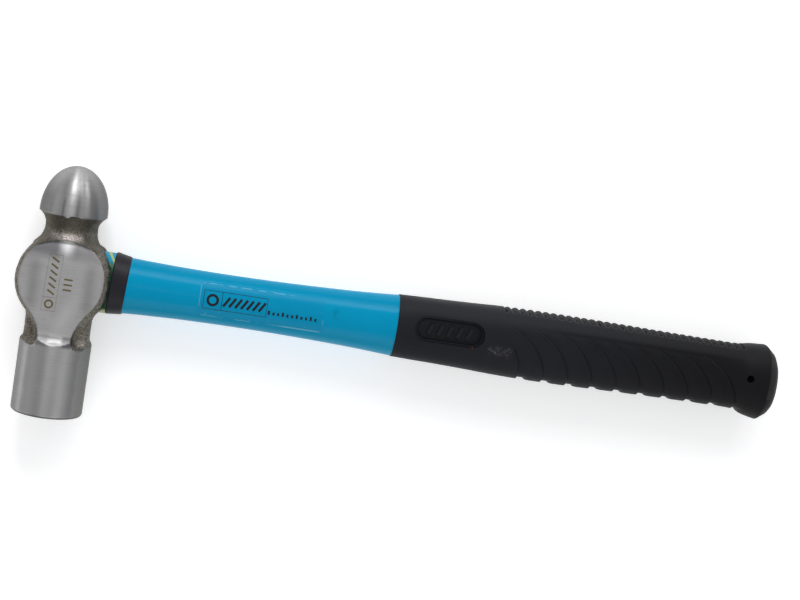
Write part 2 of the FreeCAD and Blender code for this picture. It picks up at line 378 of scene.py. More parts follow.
class Shader(Nodes):
    """One node material in the making; its lengths are in millimetres."""

    def __init__(self, name, **sockets):
        self.material = bpy.data.materials.new(name)
        self.material.use_nodes = True
        super().__init__(self.material.node_tree)
        for socket, value in sockets.items():
            self.set(socket, value)
        place = self.node("TexCoord").outputs["Object"]
        self.place = self.math("MULTIPLY", place, [1 / MM] * 3, kind="VectorMath")
        separate = self.node("SeparateXYZ", Vector=self.place)
        self.x, self.y, self.z = [Wire(self, output) for output in separate.outputs]

    def set(self, name, value):
        """Sets or feeds an input of the surface shader."""
        surface = self.tree.nodes["Principled BSDF"]
        self.connect(value, surface.inputs[name.replace("_", " ")])

    def math(self, operation, *values, kind="Math"):
        made = self.node(kind)
        made.operation = operation
        for value, socket in zip(values, made.inputs):
            self.connect(value, socket)
        return Wire(self, made.outputs[0])

    def most(self, largest, *others):
        """The largest of several values."""
        for other in others:
            largest = self.math("MAXIMUM", largest, other)
        return largest

    def step(self, low, high, value):
        """Soft step from 0 at low to 1 at high; low may be the larger."""
        made = self.node("MapRange", Value=value, From_Min=min(low, high),
                         From_Max=max(low, high))
        made.interpolation_type = "SMOOTHSTEP"
        rise = Wire(self, made.outputs["Result"])
        return rise if low < high else 1 - rise

    def within(self, value, low, high, soft):
        """1 between two limits and 0 outside them."""
        return self.step(low - soft, low + soft, value) * self.step(high + soft, high - soft, value)

    def stretched(self, *factors):
        """The place in the object, with each direction scaled."""
        return self.math("MULTIPLY", self.place, factors, kind="VectorMath")

    def combine(self, x, y, z):
        return self.node("CombineXYZ", X=x, Y=y, Z=z).outputs[0]

    def noise(self, size, detail=2.0, rough=0.5, vector=None):
        """Noise around 0.5 with lumps of the given size."""
        made = self.node("TexNoise", Vector=vector or self.place, Scale=1 / size,
                         Detail=detail, Roughness=rough)
        return Wire(self, made.outputs["Fac"])

    def mix(self, amount, first, second):
        """Colour between two colours."""
        made = self.node("Mix")
        made.data_type = "RGBA"
        made.clamp_factor = True
        for name, value in (("Factor", amount), ("A", first), ("B", second)):
            self.connect(value, made.inputs[name])
        return [output for output in made.outputs if output.type == "RGBA"][0]

    def painted(self, base, *coats):
        """A colour on screen under coats of others, each given as (how much, colour)."""
        base = linear(base)
        for amount, tint in coats:
            base = self.mix(amount, base, linear(tint))
        return base

    def bump(self, *layers):
        """Feeds the normal with layers of height in millimetres, one over another."""
        normal = None
        for height in layers:
            made = self.node("Bump", Height=height * MM, Distance=1.0)
            if normal is not None:
                self.connect(normal, made.inputs["Normal"])
            normal = made.outputs[0]
        self.set("Normal", normal)


def linear(colour):
    """Linear colour from the 0 to 255 values of a colour on screen."""
    parts = [value / 255 for value in colour]
    return [part / 12.92 if part <= 0.04045 else ((part + 0.055) / 1.055) ** 2.4
            for part in parts] + [1.0]


def ground_mask(s, radius):
    """1 where the head is ground bright: poll, cheeks, run-outs and peen."""
    ragged = s.noise(1.2, 3.0) - 0.5
    below = s.most(RUNOUT_Y - s.y, 0.0)
    over = s.most(s.y - CROWN_Y, 0.0)
    above = s.y - CROWN_ARC_Y
    past = s.math("SQRT", s.x * s.x + above * above) - CROWN_ARC_RADIUS
    crown = over * over / (2 * CROWN_RADIUS) * s.step(0.4, 0.0, past)
    cheek = CHEEK_HALF + below * below / (2 * RUNOUT_RADIUS) - crown
    on_cheek = s.step(-0.16, -0.08, abs(s.z) - cheek + ragged * 0.1) * s.step(0.3, 0.1, past)
    poll_end = s.most(s.step(31.0, 30.7, s.y + ragged * 0.3), s.step(7.8, 7.4, abs(s.x)))
    on_poll = s.step(-0.30, -0.16, radius - POLL_RADIUS + ragged * 0.12) * poll_end
    on_poll = on_poll * s.step(34.5, 34.0, s.y)
    on_face = s.step(1.6, 1.4, s.y)
    on_peen = s.step(LIP_Y - 1.3, LIP_Y - 1.2, s.y) * s.step(-0.9, -0.5, radius - PEEN_RADIUS)
    on_dome = s.step(RIM_Y, RIM_Y + 0.2, s.y)
    return s.most(on_cheek, on_poll, on_face, on_peen, on_dome)


def grinding_lines(s, radius, flat):
    """Fine grinding lines, round the head's axis and straight across the flat cheeks."""
    turn = s.math("ARCTAN2", s.x, s.z)
    turned = s.noise(1.0, 3.0, 0.7, s.combine(turn * 1.3, s.y * 2.6, radius * 0.4))
    drawn = s.noise(1.0, 3.0, 0.7, s.stretched(0.13, 3.2, 1.0))
    return turned * (1 - flat) + drawn * flat


def round_tones(s, flat):
    """Painted highlight bands on the poll, and painted shade on the sides of all that is ground
    round.
    """
    on_poll = s.step(35.0, 32.0, s.y)
    # painted highlight: two bright bands up the poll
    poll_highlight = s.most(s.within(s.x, 4.5, 8.0, 2.0), s.within(s.x, -8.6, -4.5, 1.8) * 0.75)
    # painted shade: the round ground parts darken towards both sides, more towards +X
    side_shade = s.step(2.0, 12.0, s.x) * 0.62 + s.step(-4.0, -12.5, s.x) * 0.38
    poll_side_shade = s.step(8.0, 13.0, s.x) * 0.68 + s.step(-10.5, -13.0, s.x) * 0.42
    side_shade = side_shade * (1 - on_poll) * (1 - flat) + poll_side_shade * on_poll
    return (poll_highlight * on_poll * 0.65, (206, 205, 204)), (side_shade, (88, 88, 84))


def dome_tones(s):
    """Painted shade and painted highlights: dark and bright streaks that run up the peen and fade
    before its top.
    """
    bearing = s.math("ARCTAN2", s.x, abs(s.z))
    on_dome = s.step(85.0, 86.5, s.y) * s.step(103.0, 92.0, s.y)
    # painted shade: dark streaks between the highlights
    shade_streaks = s.most(
        s.within(bearing, 0.12, 0.25, 0.08) * 0.6,
        s.within(bearing, -0.27, -0.21, 0.05) * s.step(95.0, 91.0, s.y) * 0.6,
        s.step(-0.62, -0.85, bearing) * 0.5,
        s.step(0.64, 0.80, bearing) * 0.2)
    # painted highlight: bright sheens up the peen
    sheen = s.most(s.within(bearing, -0.58, -0.36, 0.1), s.within(bearing, 0.42, 0.52, 0.12))
    return (on_dome * shade_streaks, (72, 72, 74)), (on_dome * sheen * 0.45, (214, 213, 214))


def cheek_tones(s, facing):
    """Painted shade on the flanks, a painted highlight low down, and painted shade on the crown
    with a painted highlight along its crest.
    """
    # painted shade: the cheeks darken towards their flanks
    flank_shade = s.within(abs(s.x), 9.5, 13.5, 2.5) * facing * s.within(s.y, 46.0, 66.0, 3.0)
    # painted highlight: a soft lighter band slanting low on the cheeks
    glow = s.within(s.x - (s.y - 36.0) * 0.35, -2.0, 2.5, 3.0) * s.within(s.y, 38.0, 50.0, 5.0)
    # painted shade on the crown's sides, with a painted highlight along its crest
    crowned = s.step(65.0, 71.0, s.y) * s.step(9.0, 10.0, abs(s.z)) * s.step(79.0, 77.0, s.y)
    crest = s.within(s.x, -1.6, 2.4, 2.6)
    shade = (0.78 - s.step(0.0, 6.0, s.x) * 0.24) * (1 - crest)
    return (
        (flank_shade * 0.42, (104, 103, 104)),
        (glow * 0.35, (204, 203, 204)),
        (crowned * shade, (84, 84, 88)),
        (crowned * crest * s.step(67.5, 76.0, s.y) * 0.7, (250, 249, 250)),
    )


def low_tones(s):
    """Painted shade in patches on the run-outs above the poll, and the dark rim of its face."""
    run_out = s.within(s.y, 30.8, 35.4, 0.8) * s.step(8.0, 7.0, abs(s.x))
    patch = s.step(0.35, 0.70, s.noise(1.0, 2.0, 0.5, s.stretched(0.14, 0.8, 0.3)))
    beside = s.most(s.step(2.4, 4.4, s.x), s.step(-1.0, -3.2, s.x) * 0.7)
    # painted shade: darker patches and sides on the run-outs, breaking up their highlight
    runout_shade = s.most(beside, patch * 0.75) * run_out
    return (runout_shade * 0.8, (88, 87, 90)), (s.step(1.1, 0.8, s.y) * 0.8, (74, 72, 70))


def forged_glints(s, ground):
    """1 where glints are painted on the rough forging, which is also a little smoother there."""
    shoulder = s.within(s.y, 75.6, 78.0, 0.8) * s.within(s.x, -7.0, 5.5, 1.6) * s.step(2, 5, s.z)
    pocket = s.within(s.y, 31.5, 34.0, 1.4) * s.within(s.x, 9.0, 13.0, 1.2) * 0.6
    return s.most(shoulder, pocket) * (1 - ground) * s.step(0.42, 0.62, s.noise(0.4, 3.0, 0.8))


def forged_colour(s, grain, glint):
    """Brown-grey scale, with painted shade in the throat under the peen and at the cheeks' tops,
    and painted glints.
    """
    # painted shade under the peen and beside the cheeks' tops
    throat = s.within(s.y, 79.0, 86.0, 1.5) * 0.7
    beneath = s.within(s.y, 72.0, 79.0, 1.5) * s.step(3.5, 8.0, abs(s.x)) * 0.45
    grime = s.step(0.35, 0.65, s.noise(2.2, 4.0, 0.6))
    return s.painted(
        (128, 123, 112),
        (grime, (152, 146, 134)),
        (s.step(0.52, 0.64, grain) * 0.55, (196, 188, 180)),
        (s.step(0.49, 0.38, grain) * 0.75, (66, 60, 54)),
        (s.most(throat, beneath), (84, 80, 72)),
        # painted highlight: pale glints on the forging
        (glint * 0.8, (240, 230, 230)))


def steel():
    """Forged steel, ground bright on poll, cheeks and peen."""
    s = Shader("forged_and_ground_steel", Metallic=1.0, Anisotropic=0.86,
               Anisotropic_Rotation=0.25, Specular_Tint=(0.6, 0.6, 0.6, 1.0))
    radius = s.math("SQRT", s.x * s.x + s.z * s.z)
    ground = ground_mask(s, radius)
    facing = s.step(11.0, 11.6, abs(s.z))
    flat = facing * s.within(s.y, 34.0, 79.0, 0.6)
    lines = grinding_lines(s, radius, flat)
    cloud = s.noise(9.0, 3.0)
    bright = s.painted(
        (158, 157, 157),
        (cloud, (176, 175, 175)),
        (s.step(0.45, 0.70, lines) * 0.3, (132, 130, 128)),
        *round_tones(s, flat), *dome_tones(s), *cheek_tones(s, facing), *low_tones(s))
    grain = s.noise(0.6, 3.0, 0.7)
    glint = forged_glints(s, ground)
    s.set("Base_Color", s.mix(ground, forged_colour(s, grain, glint), bright))
    grind_rough = 0.31 + lines * 0.08 + cloud * 0.05
    forge_rough = 0.50 + grain * 0.2 - glint * 0.2
    s.set("Roughness", grind_rough * ground + forge_rough * (1 - ground))
    scale = grain * 0.10 + s.noise(0.9, 3.0, 0.65) * 0.14 + s.noise(3.0, 2.0) * 0.12
    s.bump(scale * (1 - ground), lines * ground * 0.035)
    tangent = s.node("Tangent")
    tangent.direction_type = "RADIAL"
    tangent.axis = "Y"
    s.set("Tangent", tangent.outputs[0])
    return s.material


def marking(name, size, low, high, roughness, patchy, bump, **sockets):
    """Thin mark with a slightly patchy colour and gloss."""
    s = Shader(name, **sockets)
    patch = s.noise(size, 3.0)
    s.set("Base_Color", s.painted(low, (patch, high)))
    s.set("Roughness", roughness + patch * patchy)
    s.bump(s.noise(size / 2, 2.0) * bump)
    return s.material


def etched():
    """Bronze-brown laser marking on steel."""
    return marking("etched_mark", 0.5, (104, 90, 62), (128, 114, 84), 0.5, 0.15, 0.01,
                   Metallic=0.75)


def turquoise():
    """Smooth moulded jacket with faint scuffs and dust, a painted reflection along its -Y edge and
    painted shade along its +Y edge.
    """
    s = Shader("turquoise_jacket", Specular_IOR_Level=0.10)
    fine = s.noise(0.6, 2.0)
    up = s.y - HANDLE_Y
    scratch = s.noise(1.0, 3.0, 0.6, s.stretched(0.12, 2.4, 2.4))
    scuff = s.step(0.66, 0.74, scratch) * s.step(0.5, 0.62, s.noise(7.0))
    smudge = s.within(s.x, 113.0, 117.0, 2.5) * s.within(s.y, 59.5, 63.0, 2.0) * s.step(4, 6, s.z)
    smudge = smudge * s.step(0.4, 0.6, s.noise(3.0, 3.0))
    s.set("Base_Color", s.painted(
        (0, 144, 187),
        (s.noise(14.0, 3.0), (0, 152, 195)),
        # painted reflection: paler along the jacket's -Y edge
        (s.step(-4.0, -10.5, up) * 0.6, (36, 150, 184)),
        # painted shade: darker along the jacket's +Y edge
        (s.step(6.5, 10.0, up) * 0.4, (0, 120, 156)),
        (scuff * 0.35, (120, 190, 212)),
        (smudge * 0.45, (0, 100, 120))))
    s.set("Roughness", 0.13 + fine * 0.06 + scuff * 0.25)
    s.bump(s.noise(5.0, 2.0) * 0.03 + fine * 0.003 + scuff * 0.01)
    return s.material


def film():
    """Clear glossy label film over the turquoise jacket, with painted highlights along its edges,
    where it lifts, and on its bubbles.
    """
    s = Shader("label_film", Specular_IOR_Level=0.10)
    cloud = s.noise(6.0, 3.0)
    edge_x = s.math("MINIMUM", s.x - LABEL_X[0], LABEL_X[1] - s.x)
    edge_y = s.math("MINIMUM", s.y - LABEL_Y[0], LABEL_Y[1] - s.y)
    # painted highlight: pale patches along the film's edges
    edge = s.step(0.5, 0.15, s.math("MINIMUM", edge_x, edge_y)) * s.step(0.4, 0.6, s.noise(3.0))
    edge = edge * (1 - s.step(57.0, 59.0, s.y) * s.step(92.0, 100.0, s.x))
    # painted highlight where the film lifts at its lower edge
    raised = s.within(s.x, 92.0, 110.0, 3.0) * s.step(0.75, 0.35, s.y - LABEL_Y[0])
    # bubbles under the film: real in the bump, with a painted highlight in the colour
    bubble_and_highlight = s.step(0.68, 0.74, s.noise(1.6, 2.0)) * s.step(57.0, 54.5, s.y)
    s.set("Base_Color", s.painted(
        (0, 140, 183),
        (cloud, (0, 148, 191)),
        (s.most(edge, raised * 1.4) * 0.45, (130, 196, 214)),
        (bubble_and_highlight * 0.6, (96, 178, 200))))
    s.set("Roughness", 0.22 + cloud * 0.08)
    s.bump(s.noise(4.0, 2.0) * 0.05 + bubble_and_highlight * 0.03)
    return s.material


def ink():
    """Black print."""
    return marking("black_print", 0.8, (8, 20, 26), (22, 36, 44), 0.3, 0.1, 0.004,
                   Specular_IOR_Level=0.3)


def rubber(name, low, high, roughness, bump, coats=lambda s: ()):
    """Black rubber with a fine matte skin and dust, under further coats."""
    s = Shader(name, Specular_IOR_Level=0.19)
    cloud = s.noise(8.0, 4.0)
    fine = s.noise(0.35, 3.0, 0.6)
    dust = s.step(0.74, 0.8, s.noise(0.7, 2.0)) * s.step(0.5, 0.7, s.noise(11.0))
    s.set("Base_Color", s.painted(low, (cloud, high), (dust * 0.35, (92, 84, 82)), *coats(s)))
    s.set("Roughness", roughness + fine * 0.1 + cloud * 0.06)
    s.bump(fine * bump)
    return s.material


def grip_coats(s):
    """Scratches beside the badge, painted shade on its sunk floor, painted shade darkening towards
    the butt, and one rusty speck.
    """
    here = s.within(s.x, 182.5, 192.5, 1.5) * s.within(s.y, 53.3, 57.7, 1.2) * s.step(6, 8, s.z)
    rising = s.combine((s.x + s.y) * 0.13, (s.y - s.x) * 1.5, 0.0)
    falling = s.combine((s.x - s.y * 0.6) * 0.13, (s.y + s.x * 0.6) * 1.8, 5.0)
    scratch = s.most(s.noise(1.0, 2.0, 0.6, rising), s.noise(1.0, 2.0, 0.6, falling))
    marks = here * s.step(0.50, 0.66, scratch) * s.step(0.35, 0.6, s.noise(0.8, 3.0))
    # painted shade on the badge's sunk floor
    half = BADGE_HALF_HEIGHT - 0.25
    badge = s.within(s.x, BADGE_X[0] + 1.0, BADGE_X[1] - 1.0, 0.6)
    badge = badge * s.within(s.y, BADGE_Y - half, BADGE_Y + half, 0.4)
    badge = badge * s.step(BADGE_LEDGE - 0.1, BADGE_LEDGE - 0.4, s.z)
    badge = badge * s.step(BADGE_FLOOR - 0.5, BADGE_FLOOR - 0.2, s.z)
    speck = s.within(s.x, 175.4, 175.8, 0.2) * s.within(s.y, 55.5, 55.9, 0.2) * s.step(6, 8, s.z)
    return (
        (marks * 0.5, (110, 108, 116)),
        (badge * 0.5, (10, 10, 14)),
        # painted shade: darker towards the butt
        (s.step(185.0, 305.0, s.x) * 0.85, (6, 6, 8)),
        (speck * 0.8, (170, 96, 30)),
    )


def grip_rubber():
    """Matte rubber of the grip."""
    return rubber("grip_rubber", (22, 23, 28), (30, 31, 37), 0.5, 0.02, grip_coats)


def collar_rubber():
    """Glossier rubber of the ring."""
    return rubber("collar_rubber", (24, 24, 29), (42, 41, 49), 0.3, 0.04)


def green_resin():
    """Dark green bonding resin, turquoise on top with a painted yellow glow of light through it,
    and pale at its bottom.
    """
    s = Shader("bonding_resin", Specular_IOR_Level=0.22)
    flow = s.noise(2.0, 3.0, 0.6, s.stretched(1.0, 0.35, 1.0))
    top = s.step(HANDLE_Y + 8.6, HANDLE_Y + 10.4, s.y)
    # painted light: a yellow band where light shines through the thin resin on top
    glow_streak = s.within(s.y + s.x * 1.3, HANDLE_Y + 35.2, HANDLE_Y + 36.6, 0.5) * top
    s.set("Base_Color", s.painted(
        (0, 64, 40),
        (flow, (6, 92, 58)),
        (top, (12, 140, 176)),
        (glow_streak * 0.9, (178, 190, 96)),
        (s.step(HANDLE_Y - 10.0, HANDLE_Y - 12.0, s.y), (172, 182, 132))))
    s.set("Roughness", 0.1 + flow * 0.2)
    s.bump(flow * 0.3 + s.noise(0.6, 2.0) * 0.03)
    return s.material


def glass_fibre():
    """Pale core of glass fibre in resin, its strands along X."""
    s = Shader("glass_fibre", Coat_Weight=0.2, Coat_Roughness=0.2)
    strands = s.noise(0.5, 3.0, 0.6, s.stretched(0.03, 1.0, 1.0))
    s.set("Base_Color", s.painted((176, 178, 120), (strands, (206, 204, 158))))
    s.set("Roughness", 0.35 + strands * 0.25)
    s.bump(strands * 0.06)
    return s.material


# ---- head ----

def either(first, second, blend):
    """Distance to the union of two solids, filleted where they meet."""
    h = np.clip(0.5 + 0.5 * (second - first) / blend, 0, 1)
    return second + (first - second) * h - blend * h * (1 - h)


def both(first, second, blend):
    """Distance to the common part of two solids, rounded where they meet."""
    return -either(-first, -second, blend)


def eye_distance(x, y, z):
    """Distance to the oval eye, which widens to both ends."""
    half_height, half_width = follow(EYE_SECTIONS, np.clip(x, -23.9, 23.9))
    return (np.hypot((y - HANDLE_Y) / half_height, z / half_width) - 1) * half_width


def poll_distance(radius, y):
    """Distance to the round poll with its chamfered face."""
    chamfer = (radius - y - POLL_RADIUS + FACE_CHAMFER) / math.sqrt(2)
    side = both(both(radius - POLL_RADIUS, -y, 0.2), chamfer, 0.4)
    return both(side, y - POLL_TOP, 1.6)


def boss_distance(x, y, z):
    """Distance to the drum round the eye, cut flat on top."""
    rounding = BOSS_ROUND + 1.7 * ramp(2.0, 14.0, x)
    reach = BOSS_RADIUS + BOSS_SWELL * ramp(11.0, 15.5, x) * ramp(59.0, 65.0, y)
    radius = np.hypot(x, y - BOSS_Y) - reach + BOSS_DRAFT * abs(z) + rounding
    height = abs(z) - BOSS_HALF + rounding
    outside = np.hypot(np.maximum(radius, 0), np.maximum(height, 0))
    drum = outside + np.minimum(np.maximum(radius, height), 0) - rounding
    return both(drum, y - BOSS_Y - BOSS_TOP, 3.0)


def neck_distance(radius, y):
    """Distance to the neck, which flares up to the peen."""
    rise = np.clip((y - NECK_Y) / (LIP_Y - NECK_Y), 0, 1)
    along = np.maximum(BOSS_Y - y, y - RIM_Y)
    return both(radius - NECK_RADIUS - FLARE * rise ** 2, along, 1.0)


def peen_distance(x, y, z, radius):
    """Half an egg on a short ring, whose lower edge is ragged with one small burr."""
    high = np.maximum(y - RIM_Y, 0) / PEEN_HEIGHT
    level = np.hypot(radius / PEEN_RADIUS, high)
    slope = np.hypot(radius / PEEN_RADIUS ** 2, high / PEEN_HEIGHT)
    egg = level * (level - 1) / np.maximum(slope, 1e-6)
    turn = np.arctan2(x, z)
    ragged = 0.16 * np.sin(5 * turn + 0.6) + 0.10 * np.sin(11 * turn + 2.0)
    burr = 1.0 * np.exp(-((x + 1.2) / 1.3) ** 2) * (z > 0)
    return both(egg, LIP_Y + ragged - burr - y, 0.35)


def cheek_height(x, y):
    """Height of a ground cheek over the mid plane, and its slope where it runs out."""
    below = np.maximum(RUNOUT_Y - y, 0)
    crown = np.maximum(y - CROWN_Y, 0) ** 2 / (2 * CROWN_RADIUS)
    crown *= ramp(0.4, 0.0, np.hypot(x, y - CROWN_ARC_Y) - CROWN_ARC_RADIUS)
    return CHEEK_HALF + below ** 2 / (2 * RUNOUT_RADIUS) - crown, below / RUNOUT_RADIUS


def head_distance(points):
    """Signed distance to the head's surface, true near it."""
    x, y, z = np.moveaxis(points, -1, 0)
    radius = np.hypot(x, z)
    waist = np.maximum(WAIST_LOW - y, y - BOSS_Y)
    core = both(radius - WAIST_RADIUS, waist, 1.0)
    web = both(both(abs(x) - WEB_HALF, abs(z) - WEB_HALF_THICK, 3.0), waist, 1.0)
    tongue = both(both(abs(x) - TONGUE_HALF, abs(z) - TONGUE_HIGH, 2.2), waist, 1.0)
    solid = either(core, web, 3.0)
    solid = either(solid, poll_distance(radius, y), 0.05 + 3.6 * ramp(26.0, 30.0, y))
    boss = boss_distance(x, y, z)
    upright = either(tongue, boss, 7.0)
    solid = either(solid, upright, 2.2)
    solid = either(solid, either(neck_distance(radius, y), boss, 5.0), 0.5)
    cheek, slope = cheek_height(x, y)
    solid = both(solid, (abs(z) - cheek) / np.sqrt(1 + slope ** 2), 0.3)
    solid = np.maximum(solid, radius - POLL_RADIUS - 9.0 * ramp(31.0, 46.0, y))
    solid = either(solid, peen_distance(x, y, z, radius), 0.12)
    return both(solid, -eye_distance(x, y, z), 0.9)


def surface_net(field, low, pitch):
    """Closed mesh of quads on the zero level of a field sampled on a grid."""
    inside = field < 0
    cells = np.array(field.shape) - 1
    corners = [(i, j, k) for i in (0, 1) for j in (0, 1) for k in (0, 1)]

    def shifted(values, corner):
        return values[tuple(slice(c, c + n) for c, n in zip(corner, cells))]

    filled = sum(shifted(inside, corner).astype(int) for corner in corners)
    found = np.argwhere((filled > 0) & (filled < len(corners)))
    number = np.full(cells, -1)
    number[tuple(found.T)] = np.arange(len(found))
    total = np.zeros((len(found), 3))
    crossings = np.zeros(len(found))
    for start in corners:
        for axis in range(3):
            if start[axis]:
                continue
            end = tuple(c + (a == axis) for a, c in enumerate(start))
            first = field[tuple((found + start).T)]
            second = field[tuple((found + end).T)]
            crosses = (first < 0) != (second < 0)
            share = np.where(crosses, first / np.where(crosses, first - second, 1), 0)
            point = np.array(start) + share[:, None] * (np.array(end) - start)
            total += point * crosses[:, None]
            crossings += crosses
    points = low + pitch * (found + total / crossings[:, None])
    faces = []
    for axis in range(3):
        ahead = np.take(inside, range(1, inside.shape[axis]), axis)
        here = np.take(inside, range(inside.shape[axis] - 1), axis)
        edges = np.argwhere(here != ahead)
        leaves = here[tuple(edges.T)]
        side, over = (axis + 1) % 3, (axis + 2) % 3
        quad = []
        for back, down in ((1, 1), (0, 1), (0, 0), (1, 0)):
            cell = edges.copy()
            cell[:, side] -= back
            cell[:, over] -= down
            quad.append(number[tuple(cell.T)])
        quad = np.stack(quad, axis=-1)
        quad[~leaves] = quad[~leaves, ::-1]
        faces.append(quad)
    return points, np.concatenate(faces).tolist()


def head_slope(points, reach=0.02):
    """Gradient of the head's distance at points."""
    parts = []
    for axis in range(3):
        offset = np.zeros(3)
        offset[axis] = reach
        rise = head_distance(points + offset) - head_distance(points - offset)
        parts.append(rise / (2 * reach))
    return np.stack(parts, axis=-1)


def settled(points):
    """Points moved on to the head's surface."""
    for _ in range(3):
        slope = head_slope(points)
        steep = np.maximum((slope ** 2).sum(-1), 0.2)
        move = slope * (head_distance(points) / steep)[:, None]
        points = points - np.clip(move, -HEAD_PITCH / 2, HEAD_PITCH / 2)
    return points


def relief(points):
    """How far the surface stands out: forged lumps and ridge, or faint ground waves."""
    x, y, z = points.T
    round_edge = ramp(-0.6, -0.1, np.hypot(x, z) - POLL_RADIUS) * (y < 33)
    ground = ramp(-0.5, -0.1, abs(z) - cheek_height(x, y)[0])
    for other in (round_edge, ramp(LIP_Y - 1.6, LIP_Y - 0.2, y), y < FACE_CHAMFER):
        ground = np.maximum(ground, other)
    lumps = rough(points, 3.2) * 0.9 + rough(points + 40.0, 1.1) * 0.4
    ridge = PARTING_RIDGE * np.exp(-(z / 0.5) ** 2) * ramp(-0.4, 0.2, eye_distance(x, y, z))
    ridge *= ramp(33.5, 37.0, y) * ramp(83.0, 80.0, y)
    waves = rough(points, 7.0) * GROUND_BUMP
    waves += rough(points, 3.0) * 0.05 * ramp(40.0, 36.0, y) * ramp(29.0, 31.0, y)
    forged = lumps * FORGED_BUMP + ridge - FORGED_BUMP
    return (1 - ground) * forged + ground * (waves - GROUND_BUMP)


def make_head():
    """The head's surface, with forging marks where it isn't ground."""
    steps = [np.arange(low, high, HEAD_PITCH) for low, high in zip(HEAD_LOW, HEAD_HIGH)]
    grid = np.stack(np.meshgrid(*steps, indexing="ij"), axis=-1)
    points, faces = surface_net(head_distance(grid), np.array(HEAD_LOW), HEAD_PITCH)
    points = settled(points)
    slope = head_slope(points)
    normal = slope / np.maximum(np.linalg.norm(slope, axis=-1, keepdims=True), 1e-6)
    points = points + normal * relief(points)[:, None]
    piece = build("forged_head", points, faces, steel(), crease=50.0)
    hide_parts("hammer_head")


# ---- handle ----

def make_jacket():
    """Jacket with its bore for the core; the part under the grip is plain."""
    x = np.append(np.arange(TENON_END, GRIP_START, 0.8), GRIP_START)
    half_height, half_width = follow(JACKET_SECTIONS, x)
    visible = ovals(x, half_height, half_width)
    hidden = straight(GRIP_START + 0.01, SLEEVE_END, SLEEVE_HALF_HEIGHT, SLEEVE_HALF_WIDTH)
    bore = straight(SLEEVE_END, TENON_END, ROD_HALF_HEIGHT, ROD_HALF_WIDTH)
    points, faces = skin(np.concatenate([visible, hidden, bore]), closed=True)
    piece = build("moulded_jacket", points, faces, turquoise())
    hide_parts("handle_jacket")


def make_collar():
    """Soft ring pushed up against the head, a little askew and uneven."""
    corner = np.linspace(0, math.pi / 2, 7)
    length = COLLAR_END - COLLAR_START
    rise = COLLAR_ROUND * (1 - np.sin(corner))
    run = COLLAR_ROUND * (1 - np.cos(corner))
    middle = np.linspace(2 * COLLAR_ROUND, length - 2 * COLLAR_ROUND, 9)
    along = np.concatenate([[0.0], run, middle, (length - run)[::-1], [length]])
    inner = [COLLAR_THICK]
    depth = np.concatenate([inner, rise, np.zeros(len(middle)), rise[::-1], inner])
    half_height, half_width = [front + (back - front) * (along / length) - depth
                               for front, back in zip(COLLAR_FRONT, COLLAR_BACK)]
    rings = ovals(COLLAR_START + along, half_height, half_width)
    points, faces = skin(rings, closed=True)
    centre = np.array([(COLLAR_START + COLLAR_END) / 2, HANDLE_Y, 0.0])
    offset = points - centre
    offset[:, 0] += 0.12 * rough(points, 6.0)
    offset[:, 1:] *= (1 - 0.006 + 0.006 * rough(points + 30.0, 7.0))[:, None]
    turn = np.array(Matrix.Rotation(math.radians(COLLAR_TILT), 3, "Z"))
    points = centre + offset @ turn.T
    piece = build("rubber_collar", points, faces, collar_rubber(), crease=60.0)
    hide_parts("collar_ring")


# ---- label ----

def jacket_surface(x, y):
    """Height of the jacket's upper side over the mid plane."""
    half_height, half_width = follow(JACKET_SECTIONS, x)
    return half_width * np.sqrt(np.maximum(1 - ((y - HANDLE_Y) / half_height) ** 2, 0))


def make_film():
    """Thin film with round corners, bent to the jacket."""
    x = np.linspace(*LABEL_X, 90)
    into = np.minimum(np.minimum(x - LABEL_X[0], LABEL_X[1] - x), LABEL_CORNER)
    trim = LABEL_CORNER - np.sqrt(LABEL_CORNER ** 2 - (LABEL_CORNER - into) ** 2)
    share = np.linspace(0, 1, 30)
    low, high = LABEL_Y[0] + trim, LABEL_Y[1] - trim
    y = low[:, None] + (high - low)[:, None] * share
    place = np.broadcast_to(x[:, None], y.shape)
    z = jacket_surface(place, y)
    top = np.stack([place, y, z + LABEL_THICK], axis=-1)
    under = np.stack([place, y, z - 0.02], axis=-1)[:, ::-1]
    points, faces = skin(np.concatenate([top, under], axis=1))
    piece = build("clear_label", points, faces, film(), crease=60.0)
    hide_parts("label_film")


def stroke(path, width, closed=False):
    """Rings of four corners along a flat line of the given width; z is 1 above and 0 below."""
    path = np.array(path, float)
    ahead = np.roll(path, -1, axis=0) - path
    behind = path - np.roll(path, 1, axis=0)
    if not closed:
        ahead[-1] = behind[-1]
        behind[0] = ahead[0]
    ahead /= np.linalg.norm(ahead, axis=1, keepdims=True)
    behind /= np.linalg.norm(behind, axis=1, keepdims=True)
    across = ahead + behind
    across = np.stack([-across[:, 1], across[:, 0]], axis=-1)
    across *= width / np.sum(across * np.stack([-ahead[:, 1], ahead[:, 0]], -1), 1)[:, None] / 2
    corners = [(path - across, 0.0), (path + across, 0.0), (path + across, 1.0),
               (path - across, 1.0)]
    return np.stack([lifted(flat, height) for flat, height in corners], axis=1)


def line(start, end, width, steps=8):
    """Straight stroke."""
    return stroke(np.linspace(start, end, steps), width), False


def ring(centre, radius, width, steps=40):
    """Round closed stroke."""
    angle = np.linspace(0, 2 * math.pi, steps, endpoint=False)
    return stroke(circle(*centre, radius, angle), width, closed=True), True


def marks(strokes):
    """Points and faces of several strokes."""
    points, faces = [], []
    for rings, closed in strokes:
        some, sides = skin(rings, closed)
        faces += [[index + len(points) for index in side] for side in sides]
        points += some.tolist()
    return np.array(points), faces


